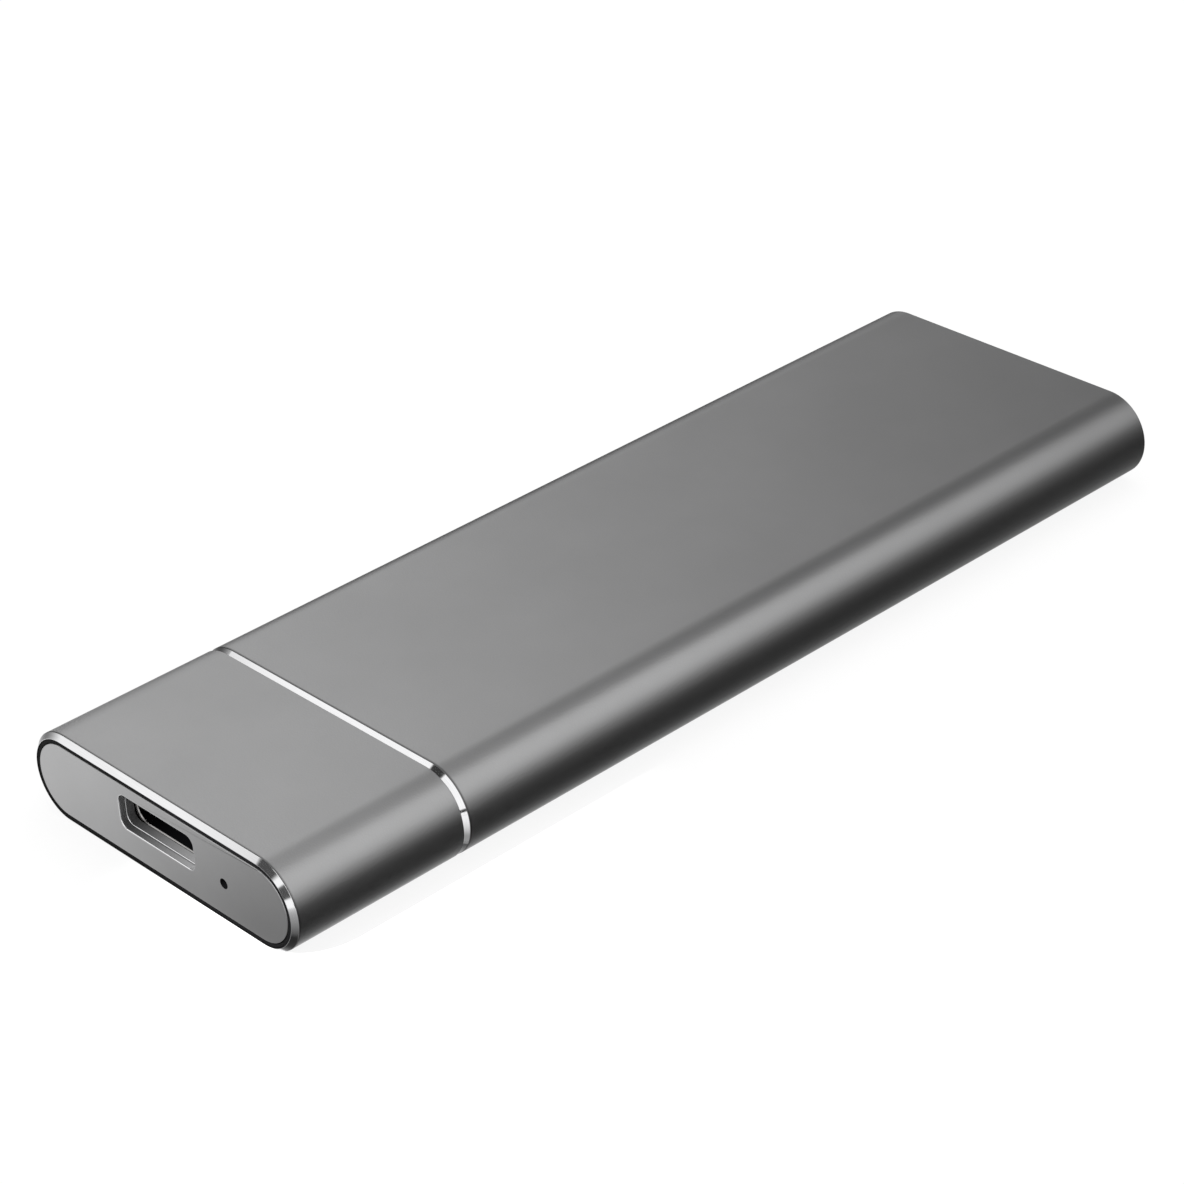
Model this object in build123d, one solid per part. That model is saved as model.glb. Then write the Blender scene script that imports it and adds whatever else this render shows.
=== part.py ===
from build123d import *
from math import floor, sqrt
import os

# Slim portable solid-state drive. An extruded aluminium sleeve and a short collar, both with full
# half-round sides and a bright cut front edge, meet over a black moulded frame. The frame carries
# the front plate and the bridge board, and the board carries the port and the memory card.
# Millimetres: X across, Y from the port end (minus) to the closed end (plus), Z up.
# The origin lies on the underside, below the middle of the case.

# Case walls and edges
WALL = 1.0                  # extruded wall of the sleeve and the collar
BRIGHT_CUT = 0.42           # depth of the bright bevel on the collar's and the sleeve's front edges
SLEEVE_CUT_LENGTH = 0.6     # the sleeve's bevel along the case
LIP = 0.03                  # flat left inside the bevel where an end is thinned for its plate
REAR_EDGE = 0.2             # bevel on the sleeve's rear edge
COLLAR_LENGTH = 16.85
REVEAL = 0.05               # gap between the collar and the sleeve
FIT = 0.05                  # clearance on each side of a push fit

# Black frame inside the collar
FRAME_WALL = 0.7
WEB_THICK = 0.8             # wall behind the front plate
RIM = 0.3                   # thin rim that surrounds the front plate
RIM_RECESS = 0.05           # the rim's set-back from the front plane
SPIGOT = 3.0                # closed stretch that enters the sleeve
TRAY = 5.0                  # open stretch behind the spigot, under the board's screws
BOARD_SEAT = 0.45           # height of the square seats under the board
SEAT_SIZE = 4.0
FRONT_SEAT = 5.0            # the board's front edge to the middle of the front seats

# End plates
FRONT_PLATE = 1.3
REAR_PLATE = 0.7
PLATE_EDGE = 0.08           # bevel on the plates' outer faces

# Bridge board
BOARD_WIDTH = 26.0
BOARD_THICK = 1.0
BOARD_CORNER = 1.0
BOARD_GAP = 0.1             # the board's front edge to the frame's wall
BOARD_SIDE = 0.58           # room between the board's lower corners and the frame
BOARD_TAIL = 3.5            # board past the middle of the card's screw
REAR_SPACE = 2.1            # the board's rear edge to the rear plate
GUIDE_LAP = 0.7             # the sleeve's ribs over the board's long edges
GUIDE_THICK = 0.6
GUIDE_GAP = 0.5             # the frame's rear edge to the start of the ribs

# Screws that hold the board on the frame
SCREW_X = 9.5
SCREW_RADIUS = 0.7
SCREW_BITE = 0.8            # thread below the board
SCREW_HEAD_RADIUS = 1.4
SCREW_HEAD = 0.6

# Port shell and its stepped window in the front plate
PORT_X = -0.28
PORT_WIDTH = 8.94
PORT_HEIGHT = 3.16
PORT_WALL = 0.3
PORT_DEPTH = 7.35
PORT_GAP = 0.05             # the front plate's back to the shell's mouth
PORT_FIT = 0.1              # clearance round the shell in the frame's wall
LEAD_IN = 0.08              # bevel inside the shell's mouth
WINDOW_MARGIN_X = 0.35      # the shell's bore to the window's ends
WINDOW_MARGIN_Z = 0.08      # the shell's bore to the window's long sides
WINDOW_RADIUS = 0.75
WINDOW_EDGE = 0.06          # bevel on the window's front edge
RECESS_DEPTH = 0.54
RECESS_MARGIN_X = 0.12      # the window to the recess's ends
RECESS_MARGIN_Z = 0.2       # the window to the recess's long sides
RECESS_RADIUS = 0.8
LEG_WIDTH = 1.0
LEG_FRONT = 2.0             # the mouth to the middle of the front legs
LEG_PITCH = 4.0
LEG_FIT = 0.1

# Tongue and contact strips in the port
TONGUE_WIDTH = 6.69
TONGUE_THICK = 0.7
TONGUE_SETBACK = 1.6
TONGUE_BASE = 1.6
TONGUE_TIP_RADIUS = 0.2
CONTACT_COUNT = 12
CONTACT_PITCH = 0.5
CONTACT_WIDTH = 0.25
CONTACT_THICK = 0.05
CONTACT_SETBACK = 0.4       # the tongue's tip to the strips

# Light and its pipe
LED_X = 7.9
LED_WIDTH = 2.0
LED_DEPTH = 1.0
LED_HEIGHT = 1.4
LED_GAP = 0.1
PIPE_RADIUS = 0.4
PIPE_RECESS = 0.45
PIPE_FLANGE = 0.5

# Parts beside the port
COIL = 3.0
COIL_HEIGHT = 1.5
COIL_EDGE = 0.3
COIL_INSET = 1.0            # the board's long edge to the coil
COIL_FROM_LED = 1.0
CRYSTAL_WIDTH = 2.0
CRYSTAL_LENGTH = 1.6
CRYSTAL_HEIGHT = 0.6
CRYSTAL_LID_INSET = 0.2
CRYSTAL_LID = 0.15
CRYSTAL_GAP = 0.6           # the port's side to the crystal

# Bridge chip and the rows of small parts beside it, under the memory card
BRIDGE_CHIP = 7.0
BRIDGE_CHIP_HEIGHT = 0.85
BRIDGE_CHIP_EDGE = 0.1
BRIDGE_CHIP_START = 10.0    # the frame's rear edge to the chip
SMALL_LENGTH = 1.0
SMALL_WIDTH = 0.5
SMALL_HEIGHT = 0.5
SMALL_EDGE = 0.06
SMALL_PITCH = 1.6
SMALL_COUNT = 8
CAPACITOR_GAP = 0.8         # the chip's side to the capacitors
RESISTOR_GAP = 1.0          # the capacitors to the resistors

# Memory card and its edge
CARD_LENGTH = 80.0
CARD_WIDTH = 22.0
CARD_THICK = 0.8
CARD_LIFT = 1.45            # the bridge board to the card
CARD_EDGE_WIDTH = 19.85     # narrower edge that enters the socket
CARD_EDGE_LENGTH = 4.0
CARD_KEY_X = 6.1
CARD_KEY_WIDTH = 1.2
CARD_KEY_DEPTH = 3.5
CARD_NOTCH_RADIUS = 1.75
FINGER_PITCH = 0.5
FINGER_WIDTH = 0.35
FINGER_LENGTH = 2.4
FINGER_THICK = 0.03
FINGER_SETBACK = 0.6

# Socket for the card's edge
SOCKET_GAP = 1.0            # the port's back to the socket
SOCKET_DEPTH = 8.0
SOCKET_ROOF = 0.8           # socket above the card
SOCKET_EDGE = 0.4
SLOT_SIDE = 0.1
SLOT_GAP = 0.06             # clearance above and below the card's edge
SLOT_END_GAP = 0.2
KEY_GAP = 0.15
PIN_PITCH = 0.5
PIN_WIDTH = 0.2
PIN_THICK = 0.15
PIN_CLEAR = 0.2             # the pins' tails to the port's back

# Chips on the card, counted forwards from its screwed end
CARD_END_MARGIN = 8.0
CHIP_GAP = 3.0
FLASH_COUNT = 2
FLASH_LENGTH = 16.0
FLASH_WIDTH = 14.0
FLASH_HEIGHT = 1.35
CONTROLLER = 11.0
CONTROLLER_HEIGHT = 1.1
CACHE_LENGTH = 7.0
CACHE_WIDTH = 10.0
CACHE_HEIGHT = 0.9
CHIP_EDGE = 0.15
CARD_PART_INSET = 1.6       # the card's long edge to the middle of its small parts
CARD_PART_PITCH = 4.0
CARD_PART_COUNT = 12

# Post and screw at the card's far end
POST_RADIUS = 2.2
POST_SPIGOT_RADIUS = 1.5    # stem through the bridge board
CARD_SCREW_RADIUS = 0.95
CARD_SCREW_LAP = 0.75       # screw head over the notch's edge
CARD_SCREW_HEAD = 0.6

# Soft pad between the flash chips and the sleeve
PAD_THICK = 0.4
PAD_MARGIN = 1.0            # pad past the chips' sides
HEADROOM = 0.05             # least room over the port and the socket

# Heights, built up from the underside of the case
mouth_wall = BRIGHT_CUT + LIP
frame_inset = WALL + FIT + FRAME_WALL
board_bottom = frame_inset + BOARD_SEAT
board_top = board_bottom + BOARD_THICK
card_bottom = board_top + CARD_LIFT
card_top = card_bottom + CARD_THICK
flash_top = card_top + FLASH_HEIGHT
socket_top = card_top + SOCKET_ROOF
port_z = board_top + PORT_HEIGHT / 2
led_z = board_top + LED_HEIGHT / 2
tallest_at_frame = max(socket_top, board_top + PORT_HEIGHT) + HEADROOM + FRAME_WALL + FIT
ceiling = max(flash_top + PAD_THICK, tallest_at_frame)
HEIGHT = ceiling + WALL
axis_z = HEIGHT / 2

# Width, as narrow as the board's lower corners allow inside the frame's half-round sides
frame_radius = axis_z - frame_inset
corner_drop = axis_z - board_bottom
corner_reach = sqrt(frame_radius ** 2 - corner_drop ** 2)
WIDTH = BOARD_WIDTH + 2 * BOARD_SIDE - 2 * corner_reach + HEIGHT

# Lengthwise places, from the front plane back
electronics = PORT_GAP + PORT_DEPTH + SOCKET_GAP + SOCKET_DEPTH - CARD_EDGE_LENGTH + CARD_LENGTH
LENGTH = FRONT_PLATE + electronics + BOARD_TAIL + REAR_SPACE + REAR_PLATE
front = -LENGTH / 2
plate_back = front + FRONT_PLATE
web_back = plate_back + WEB_THICK
board_front = web_back + BOARD_GAP
port_front = plate_back + PORT_GAP
port_back = port_front + PORT_DEPTH
socket_front = port_back + SOCKET_GAP
socket_back = socket_front + SOCKET_DEPTH
card_front = socket_back - CARD_EDGE_LENGTH
card_back = card_front + CARD_LENGTH
board_back = card_back + BOARD_TAIL
rear_plate_front = board_back + REAR_SPACE
rear = rear_plate_front + REAR_PLATE
collar_back = front + COLLAR_LENGTH
sleeve_front = collar_back + REVEAL
spigot_back = sleeve_front + SPIGOT
tray_back = spigot_back + TRAY
screw_y = spigot_back + TRAY / 2
bridge_y = tray_back + BRIDGE_CHIP_START + BRIDGE_CHIP / 2
pipe_back = web_back + PIPE_FLANGE
led_front = pipe_back + LED_GAP
led_back = led_front + LED_DEPTH


def stadium(inset):
    """Case section, drawn in evenly by an inset."""
    return SlotOverall(WIDTH - 2 * inset, HEIGHT - 2 * inset)


def across(outline, start, end):
    """Solid of an X-Z outline, drawn about the case's axis, from one Y to another."""
    plane = Plane(origin=(0, end, axis_z), x_dir=(1, 0, 0), z_dir=(0, -1, 0))
    return extrude(plane * outline, end - start)


def upright(outline, low, high):
    """Solid of an X-Y outline from one Z to another."""
    return extrude(Plane.XY.offset(low) * outline, high - low)


def block(x, y, low, width, length, height):
    """Square-edged block that stands on a height, centred on a point."""
    return upright(Pos(x, y) * Rectangle(width, length), low, low + height)


def post(x, y, low, high, radius):
    """Round post between two heights."""
    return upright(Pos(x, y) * Circle(radius), low, high)


def package(x, y, low, width, length, height, edge):
    """Chip body with a bevel round its top."""
    body = block(x, y, low, width, length, height)
    return chamfer(body.faces().sort_by(Axis.Z)[-1].edges(), edge)


def front_rim(solid):
    """Outermost edges of a solid's front face."""
    return solid.faces().sort_by(Axis.Y)[0].outer_wire().edges()


def rear_rim(solid):
    """Outermost edges of a solid's rear face."""
    return solid.faces().sort_by(Axis.Y)[-1].outer_wire().edges()


def pattern(count, pitch):
    """Offsets of evenly spaced copies about zero."""
    return [(index - (count - 1) / 2) * pitch for index in range(count)]


def port_slot(margin):
    """Round-ended outline of the port's shell, grown by a margin."""
    outline = SlotOverall(PORT_WIDTH + 2 * margin, PORT_HEIGHT + 2 * margin)
    return Pos(PORT_X, port_z - axis_z) * outline


def port_window(margin_x, margin_z, radius):
    """Rounded outline about the shell's bore, grown by two margins."""
    width = PORT_WIDTH - 2 * PORT_WALL + 2 * margin_x
    height = PORT_HEIGHT - 2 * PORT_WALL + 2 * margin_z
    return Pos(PORT_X, port_z - axis_z) * RectangleRounded(width, height, radius)


def pipe_hole(radius):
    """Round outline about the light pipe's axis."""
    return Pos(LED_X, led_z - axis_z) * Circle(radius)


def guide_ribs():
    """Outline of the sleeve's four ribs, above and below the board's long edges."""
    tip = BOARD_WIDTH / 2 - GUIDE_LAP
    reach = WIDTH / 2 - tip
    ribs = Sketch()
    for side in (-1, 1):
        for low in (board_bottom - FIT - GUIDE_THICK, board_top + FIT):
            middle = low + GUIDE_THICK / 2 - axis_z
            ribs += Pos(side * (tip + reach / 2), middle) * Rectangle(reach, GUIDE_THICK)
    return ribs & stadium(WALL / 2)


def main_sleeve():
    """Extruded sleeve with card guides, thinned at the rear for its plate."""
    sleeve = across(stadium(0) - stadium(WALL), sleeve_front, rear)
    sleeve += across(guide_ribs(), tray_back + GUIDE_GAP, rear_plate_front)
    sleeve -= across(stadium(mouth_wall), rear_plate_front, rear)
    mouth = sleeve.faces().sort_by(Axis.Y)[0]
    sleeve = chamfer(mouth.outer_wire().edges(), BRIGHT_CUT, SLEEVE_CUT_LENGTH, reference=mouth)
    return chamfer(rear_rim(sleeve), REAR_EDGE)


def front_collar():
    """Short collar, thinned at the mouth so that the frame's flange seats on a ledge."""
    collar = across(stadium(0) - stadium(WALL), front, collar_back)
    collar -= across(stadium(mouth_wall), front, web_back)
    return chamfer(front_rim(collar), BRIGHT_CUT)


def front_plate():
    """Inset plate with the port's stepped window and the light's pinhole."""
    window = port_window(WINDOW_MARGIN_X, WINDOW_MARGIN_Z, WINDOW_RADIUS)
    recess_margins = (WINDOW_MARGIN_X + RECESS_MARGIN_X, WINDOW_MARGIN_Z + RECESS_MARGIN_Z)
    plate = across(stadium(mouth_wall + RIM + 2 * FIT), front, plate_back)
    plate -= across(window, front, plate_back)
    plate -= across(port_window(*recess_margins, RECESS_RADIUS), front, front + RECESS_DEPTH)
    plate -= across(pipe_hole(PIPE_RADIUS + FIT), front, plate_back)
    ledge = plate.faces().filter_by(Axis.Y).sort_by(Axis.Y)[1]
    plate = chamfer(ledge.inner_wires()[0].edges(), WINDOW_EDGE)
    return chamfer(plate.faces().sort_by(Axis.Y)[0].edges(), PLATE_EDGE)


def rear_plate():
    """Plain plate that closes the sleeve's rear, seated on its ledge."""
    plate = across(stadium(mouth_wall + FIT), rear_plate_front, rear)
    return chamfer(rear_rim(plate), PLATE_EDGE)


def front_frame():
    """Moulded frame: a flanged front wall, a closed spigot, and a tray with seats for the board."""
    flange = across(stadium(mouth_wall + FIT), front + RIM_RECESS, web_back)
    flange -= across(stadium(mouth_wall + FIT + RIM), front, plate_back)
    flange -= across(port_slot(PORT_FIT), plate_back, web_back)
    flange -= across(pipe_hole(PIPE_RADIUS + FIT), plate_back, web_back)
    ring = across(stadium(WALL + FIT) - stadium(frame_inset), web_back, tray_back)
    ring -= upright(Pos(0, spigot_back + TRAY / 2) * Rectangle(WIDTH, TRAY), board_top, HEIGHT)
    frame = flange + ring
    for side in (-1, 1):
        for y in (board_front + FRONT_SEAT, screw_y):
            seat = (SEAT_SIZE, SEAT_SIZE, BOARD_SEAT + FRAME_WALL / 2)
            frame += block(side * SCREW_X, y, frame_inset - FRAME_WALL / 2, *seat)
        pilot_end = board_bottom - SCREW_BITE - FIT
        frame -= post(side * SCREW_X, screw_y, pilot_end, board_bottom, SCREW_RADIUS + FIT)
    return frame


def leg_places():
    """Middles of the port shell's four legs, in plan."""
    side = (PORT_WIDTH - PORT_WALL) / 2
    rows = (port_front + LEG_FRONT, port_front + LEG_FRONT + LEG_PITCH)
    return [(PORT_X + sign * side, y) for sign in (-1, 1) for y in rows]


def bridge_board():
    """Circuit board with slots for the port's legs and holes for its screws and the card's post."""
    length = board_back - board_front
    outline = RectangleRounded(BOARD_WIDTH, length, BOARD_CORNER)
    outline = Pos(0, (board_front + board_back) / 2) * outline
    for x, y in leg_places():
        outline -= Pos(x, y) * Rectangle(PORT_WALL + 2 * LEG_FIT, LEG_WIDTH + 2 * LEG_FIT)
    for side in (-1, 1):
        outline -= Pos(side * SCREW_X, screw_y) * Circle(SCREW_RADIUS + FIT)
    outline -= Pos(0, card_back) * Circle(POST_SPIGOT_RADIUS + FIT)
    return upright(outline, board_bottom, board_top)


def board_screws():
    """Two small screws through the board into the frame's seats."""
    screws = []
    for side in (-1, 1):
        x = side * SCREW_X
        shank = post(x, screw_y, board_bottom - SCREW_BITE, board_top, SCREW_RADIUS)
        screws.append(shank + post(x, screw_y, board_top, board_top + SCREW_HEAD, SCREW_HEAD_RADIUS))
    return Compound(children=screws)


def port_shell():
    """Drawn steel shell with round ends, a bevelled mouth and four legs through the board."""
    shell = across(port_slot(0), port_front, port_back)
    for x, y in leg_places():
        shell += block(x, y, board_bottom, PORT_WALL, LEG_WIDTH, port_z - board_bottom)
    shell -= across(port_slot(-PORT_WALL), port_front, port_back)
    return chamfer(shell.faces().sort_by(Axis.Y)[0].inner_wires()[0].edges(), LEAD_IN)


def port_tongue():
    """Moulded tongue on a base that plugs the back of the shell."""
    base_front = port_back - TONGUE_BASE
    tip = port_front + TONGUE_SETBACK
    length = base_front - tip
    low = port_z - TONGUE_THICK / 2
    tongue = block(PORT_X, tip + length / 2, low, TONGUE_WIDTH, length, TONGUE_THICK)
    tongue = fillet(front_rim(tongue), TONGUE_TIP_RADIUS)
    return tongue + across(port_slot(-PORT_WALL - FIT), base_front, port_back)


def port_contacts():
    """Contact strips on both faces of the tongue."""
    start = port_front + TONGUE_SETBACK + CONTACT_SETBACK
    length = port_back - TONGUE_BASE - start
    lows = (port_z - TONGUE_THICK / 2 - CONTACT_THICK, port_z + TONGUE_THICK / 2)
    strips = []
    for low in lows:
        for offset in pattern(CONTACT_COUNT, CONTACT_PITCH):
            place = (PORT_X + offset, start + length / 2, low)
            strips.append(block(*place, CONTACT_WIDTH, length, CONTACT_THICK))
    return Compound(children=strips)


def light_pipe():
    """Clear rod from the pinhole through the frame's wall, with a flange behind it."""
    rod = across(pipe_hole(PIPE_RADIUS), front + PIPE_RECESS, pipe_back)
    return rod + across(pipe_hole(LED_HEIGHT / 2 - FIT), web_back, pipe_back)


def activity_led():
    """Side-facing light on the board, behind the pipe."""
    middle = (led_front + led_back) / 2
    return block(LED_X, middle, board_top, LED_WIDTH, LED_DEPTH, LED_HEIGHT)


def power_coil():
    """Moulded coil behind the light, by the board's long edge."""
    x = BOARD_WIDTH / 2 - COIL_INSET - COIL / 2
    y = led_back + COIL_FROM_LED + COIL / 2
    return package(x, y, board_top, COIL, COIL, COIL_HEIGHT, COIL_EDGE)


def clock_crystal():
    """Small metal can with a raised lid, between the port and the coil."""
    x = PORT_X + PORT_WIDTH / 2 + CRYSTAL_GAP + CRYSTAL_WIDTH / 2
    y = led_back + COIL_FROM_LED + CRYSTAL_LENGTH / 2
    base = CRYSTAL_HEIGHT - CRYSTAL_LID
    lid = (CRYSTAL_WIDTH - 2 * CRYSTAL_LID_INSET, CRYSTAL_LENGTH - 2 * CRYSTAL_LID_INSET, CRYSTAL_LID)
    can = block(x, y, board_top, CRYSTAL_WIDTH, CRYSTAL_LENGTH, base)
    return can + block(x, y, board_top + base, *lid)


def bridge_chip():
    """Square chip on the board, under the card."""
    size = (BRIDGE_CHIP, BRIDGE_CHIP, BRIDGE_CHIP_HEIGHT)
    return package(0, bridge_y, board_top, *size, BRIDGE_CHIP_EDGE)


def small_part(x, y, low):
    """Small bevelled component."""
    return package(x, y, low, SMALL_WIDTH, SMALL_LENGTH, SMALL_HEIGHT, SMALL_EDGE)


def small_rows(x, low, places):
    """Small parts in two rows, one each side of the middle."""
    return Compound(children=[small_part(side * x, y, low) for side in (-1, 1) for y in places])


def rows_by_chip(gap):
    """Rows of small parts on the board, each side of the bridge chip."""
    x = BRIDGE_CHIP / 2 + gap + SMALL_WIDTH / 2
    return small_rows(x, board_top, [bridge_y + offset for offset in pattern(SMALL_COUNT, SMALL_PITCH)])


def board_capacitors():
    """Capacitors next to the bridge chip."""
    return rows_by_chip(CAPACITOR_GAP)


def board_resistors():
    """Resistors outside the capacitors."""
    return rows_by_chip(CAPACITOR_GAP + SMALL_WIDTH + RESISTOR_GAP)


def card_edge(margin):
    """Plan of the card's narrow edge, its sides grown by a margin."""
    middle = card_front + CARD_EDGE_LENGTH / 2
    return Pos(0, middle) * Rectangle(CARD_EDGE_WIDTH + 2 * margin, CARD_EDGE_LENGTH)


def memory_card():
    """Card with a narrow keyed edge and a half-round notch for its screw."""
    body_length = CARD_LENGTH - CARD_EDGE_LENGTH
    outline = Pos(0, card_back - body_length / 2) * Rectangle(CARD_WIDTH, body_length)
    outline += card_edge(0)
    outline -= Pos(CARD_KEY_X, card_front) * Rectangle(CARD_KEY_WIDTH, 2 * CARD_KEY_DEPTH)
    outline -= Pos(0, card_back) * Circle(CARD_NOTCH_RADIUS)
    return upright(outline, card_bottom, card_top)


def edge_offsets(pitch, width):
    """Places along the card's edge, clear of its key notch."""
    count = floor((CARD_EDGE_WIDTH - width) / pitch)
    clear = CARD_KEY_WIDTH / 2 + width
    return [x for x in pattern(count, pitch) if abs(x - CARD_KEY_X) > clear]


def card_fingers():
    """Contact strips on both faces of the card's edge."""
    middle = card_front + FINGER_SETBACK + FINGER_LENGTH / 2
    strips = []
    for low in (card_bottom - FINGER_THICK, card_top):
        for x in edge_offsets(FINGER_PITCH, FINGER_WIDTH):
            strips.append(block(x, middle, low, FINGER_WIDTH, FINGER_LENGTH, FINGER_THICK))
    return Compound(children=strips)


def card_socket():
    """Edge socket with a slot open to the rear and a key that fills the card's notch."""
    middle = (socket_front + socket_back) / 2
    housing = upright(Pos(0, middle) * Rectangle(CARD_WIDTH, SOCKET_DEPTH), board_top, socket_top)
    top_edges = housing.faces().sort_by(Axis.Z)[-1].edges()
    housing = chamfer(top_edges, SOCKET_EDGE)
    slot = card_edge(SLOT_SIDE)
    slot += Pos(0, card_front) * Rectangle(CARD_EDGE_WIDTH + 2 * SLOT_SIDE, 2 * SLOT_END_GAP)
    key_width = CARD_KEY_WIDTH - 2 * KEY_GAP
    slot -= Pos(CARD_KEY_X, card_front) * Rectangle(key_width, 2 * (CARD_KEY_DEPTH - KEY_GAP))
    return housing - upright(slot, card_bottom - SLOT_GAP, card_top + SLOT_GAP)


def card_socket_pins():
    """Soldered tails along the socket's front."""
    tail = SOCKET_GAP - PIN_CLEAR
    middle = socket_front - tail / 2
    places = edge_offsets(PIN_PITCH, PIN_WIDTH)
    return Compound(children=[block(x, middle, board_top, PIN_WIDTH, tail, PIN_THICK) for x in places])


def chip_ends():
    """Rear edges of the chips along the card: each flash chip, the controller, then the cache."""
    ends = []
    end = card_back - CARD_END_MARGIN
    for length in [FLASH_LENGTH] * FLASH_COUNT + [CONTROLLER, CACHE_LENGTH]:
        ends.append(end)
        end -= length + CHIP_GAP
    return ends


def flash_chips():
    """Memory chips on the card."""
    size = (FLASH_WIDTH, FLASH_LENGTH, FLASH_HEIGHT)
    middles = [end - FLASH_LENGTH / 2 for end in chip_ends()[:FLASH_COUNT]]
    return Compound(children=[package(0, y, card_top, *size, CHIP_EDGE) for y in middles])


def card_controller():
    """Square controller chip ahead of the flash chips."""
    y = chip_ends()[FLASH_COUNT] - CONTROLLER / 2
    return package(0, y, card_top, CONTROLLER, CONTROLLER, CONTROLLER_HEIGHT, CHIP_EDGE)


def cache_chip():
    """Cache memory ahead of the controller."""
    y = chip_ends()[-1] - CACHE_LENGTH / 2
    return package(0, y, card_top, CACHE_WIDTH, CACHE_LENGTH, CACHE_HEIGHT, CHIP_EDGE)


def card_capacitors():
    """Small parts along both long edges of the card."""
    x = CARD_WIDTH / 2 - CARD_PART_INSET
    start = card_back - CARD_END_MARGIN
    return small_rows(x, card_top, [start - index * CARD_PART_PITCH for index in range(CARD_PART_COUNT)])


def card_standoff():
    """Brass post with a stem through the board and a threaded bore."""
    standoff = post(0, card_back, board_top, card_bottom, POST_RADIUS)
    standoff += post(0, card_back, board_bottom, board_top, POST_SPIGOT_RADIUS)
    return standoff - post(0, card_back, board_bottom, card_bottom, CARD_SCREW_RADIUS + FIT)


def card_screw():
    """Flat-headed screw that clamps the card's notch."""
    head_radius = CARD_NOTCH_RADIUS + CARD_SCREW_LAP
    shank = post(0, card_back, board_top, card_top, CARD_SCREW_RADIUS)
    return shank + post(0, card_back, card_top, card_top + CARD_SCREW_HEAD, head_radius)


def thermal_pad():
    """Soft pad that fills the space between the flash chips and the sleeve."""
    start = chip_ends()[FLASH_COUNT - 1] - FLASH_LENGTH - PAD_MARGIN
    end = chip_ends()[0] + PAD_MARGIN
    width = FLASH_WIDTH + 2 * PAD_MARGIN
    return block(0, (start + end) / 2, flash_top, width, end - start, ceiling - flash_top)


PIECES = {
    "main_sleeve": main_sleeve,
    "front_collar": front_collar,
    "front_plate": front_plate,
    "rear_plate": rear_plate,
    "front_frame": front_frame,
    "bridge_board": bridge_board,
    "board_screws": board_screws,
    "port_shell": port_shell,
    "port_tongue": port_tongue,
    "port_contacts": port_contacts,
    "light_pipe": light_pipe,
    "activity_led": activity_led,
    "bridge_chip": bridge_chip,
    "power_coil": power_coil,
    "clock_crystal": clock_crystal,
    "board_capacitors": board_capacitors,
    "board_resistors": board_resistors,
    "card_socket": card_socket,
    "card_socket_pins": card_socket_pins,
    "memory_card": memory_card,
    "card_fingers": card_fingers,
    "flash_chips": flash_chips,
    "card_controller": card_controller,
    "cache_chip": cache_chip,
    "card_capacitors": card_capacitors,
    "card_standoff": card_standoff,
    "card_screw": card_screw,
    "thermal_pad": thermal_pad,
}

os.makedirs("parts", exist_ok=True)
for name, make in PIECES.items():
    export_step(make(), f"parts/{name}.step")
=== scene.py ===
"""Slim portable drive: blasted aluminium sleeve and collar, bright cut edges, inset plates and a port."""
import math
from collections import namedtuple

import bmesh
import bpy
from mathutils import Matrix, Vector


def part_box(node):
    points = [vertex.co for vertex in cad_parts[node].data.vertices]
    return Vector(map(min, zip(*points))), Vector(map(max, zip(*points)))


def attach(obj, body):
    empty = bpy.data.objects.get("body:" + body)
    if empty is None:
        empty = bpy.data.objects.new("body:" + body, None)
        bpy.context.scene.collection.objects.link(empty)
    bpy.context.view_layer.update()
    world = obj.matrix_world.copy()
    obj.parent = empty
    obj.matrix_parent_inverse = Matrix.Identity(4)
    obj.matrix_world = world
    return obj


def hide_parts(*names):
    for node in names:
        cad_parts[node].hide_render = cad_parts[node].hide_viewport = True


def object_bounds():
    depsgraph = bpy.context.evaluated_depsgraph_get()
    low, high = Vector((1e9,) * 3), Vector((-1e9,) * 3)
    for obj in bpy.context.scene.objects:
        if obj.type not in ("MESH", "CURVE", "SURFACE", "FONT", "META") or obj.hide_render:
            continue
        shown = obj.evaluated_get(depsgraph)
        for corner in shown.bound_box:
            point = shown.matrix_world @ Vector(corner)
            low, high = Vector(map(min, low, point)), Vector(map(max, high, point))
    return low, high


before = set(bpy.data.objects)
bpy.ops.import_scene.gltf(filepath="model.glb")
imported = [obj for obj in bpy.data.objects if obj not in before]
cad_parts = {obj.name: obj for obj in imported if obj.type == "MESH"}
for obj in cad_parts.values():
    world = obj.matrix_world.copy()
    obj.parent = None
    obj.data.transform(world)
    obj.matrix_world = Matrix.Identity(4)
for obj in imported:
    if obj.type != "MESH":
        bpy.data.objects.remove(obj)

bl_info = {
    "name": "Portable Drive",
    "version": (1, 0, 0),
    "blender": (4, 5, 0),
    "location": "3D View > Sidebar > Drive",
    "description": "Models a slim aluminium drive around its construction, with finishes and a stage",
    "category": "Object",
}

# Boxes of the construction, in metres
CASE_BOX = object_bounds()
SLEEVE_LOW, SLEEVE_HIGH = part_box("main_sleeve")
COLLAR_LOW, COLLAR_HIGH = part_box("front_collar")
FRONT_PLATE_LOW, FRONT_PLATE_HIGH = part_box("front_plate")
REAR_PLATE_LOW, REAR_PLATE_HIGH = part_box("rear_plate")
SHELL_LOW, SHELL_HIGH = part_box("port_shell")
PIPE_LOW, PIPE_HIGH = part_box("light_pipe")
BOARD_LOW, BOARD_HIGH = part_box("bridge_board")

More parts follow.
